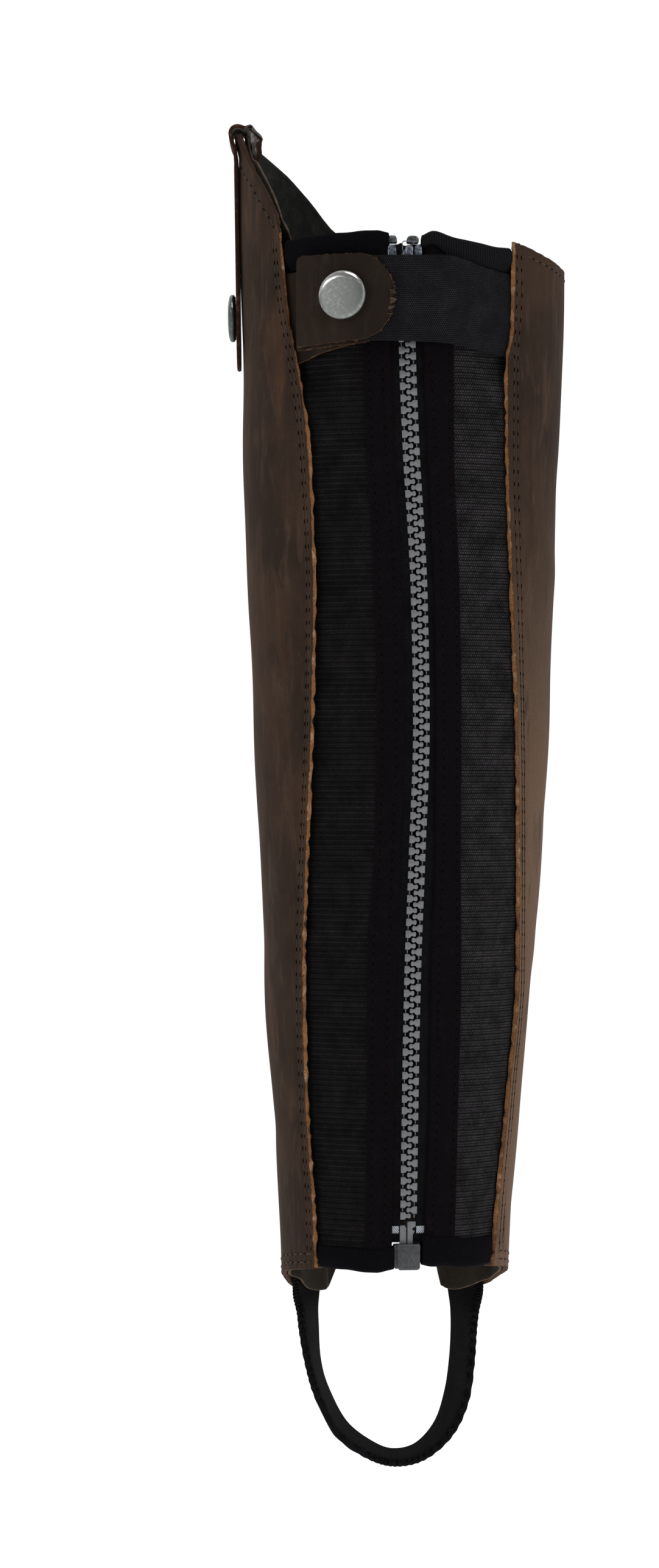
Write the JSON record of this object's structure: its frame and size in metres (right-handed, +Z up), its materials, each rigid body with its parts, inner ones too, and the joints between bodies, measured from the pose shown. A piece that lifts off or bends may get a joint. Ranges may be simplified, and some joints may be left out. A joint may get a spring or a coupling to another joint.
{
  "type": "leather half chap",
  "caption": "Hollow leather half chap for the lower leg, with a zip and elastic panels down the back, a calf strap, a strap over its peak and an elastic stirrup.",
  "frame": {"origin": "on the leg's line at the middle height of the calf strap", "axes": "+Z up the leg, +Y to the shin, -Y to the zip at the back, -X to the leg's outer side with the peak"},
  "size_m": [0.1254, 0.1244, 0.5019],
  "materials": {
    "oiled_leather": "dark brown oiled nubuck, matt, with raw orange-brown cut edges",
    "strap_leather": "dark brown strap leather, matt, raw cut edges",
    "lining_cloth": "dark grey-green brushed lining",
    "ribbed_elastic": "black ribbed woven elastic",
    "panel_cloth": "black brushed stretch cloth",
    "zip_tape": "black woven zip tape",
    "binding_tape": "black folded binding",
    "strap_webbing": "black woven elastic webbing",
    "stirrup_elastic": "black flat elastic with ribbed edges",
    "zip_plastic": "moulded dark grey plastic",
    "zip_metal": "polished nickel plate",
    "nickel": "polished nickel plate, lightly scratched"
  },
  "bodies": {
    "chap": {"leather_body": "oiled_leather", "lining": "lining_cloth", "elastic_left": "ribbed_elastic", "elastic_right": "ribbed_elastic", "zip_panel_left": "panel_cloth", "zip_panel_right": "panel_cloth", "zip_tape_left": "zip_tape", "zip_tape_right": "zip_tape", "zip_chain": "zip_plastic", "top_band_left": "binding_tape", "top_band_right": "binding_tape", "hem_band_left": "binding_tape", "hem_band_right": "binding_tape", "base_tab": "strap_leather", "tab_inner": "strap_leather", "tab_outer": "strap_leather", "calf_strap": "strap_webbing", "snap_cap": "nickel", "peak_strap": "strap_leather", "peak_snap_cap": "nickel", "stirrup_elastic": "stirrup_elastic", "zip_slider": "zip_metal", "zip_top_stop_left": "zip_metal", "zip_top_stop_right": "zip_metal", "zip_pin_left": "zip_plastic", "zip_pin_right": "zip_plastic", "zip_box": "zip_plastic"},
    "zip_pull": {"zip_pull_tab": "zip_metal"}
  },
  "joints": [
    {"name": "pull_tab_hinge", "type": "hinge", "parent": "chap", "child": "zip_pull", "pos_m": [0.001, -0.0597, 0.0112], "axis": [-1, 0, 0], "range_deg": [0, 4]}
  ]
}
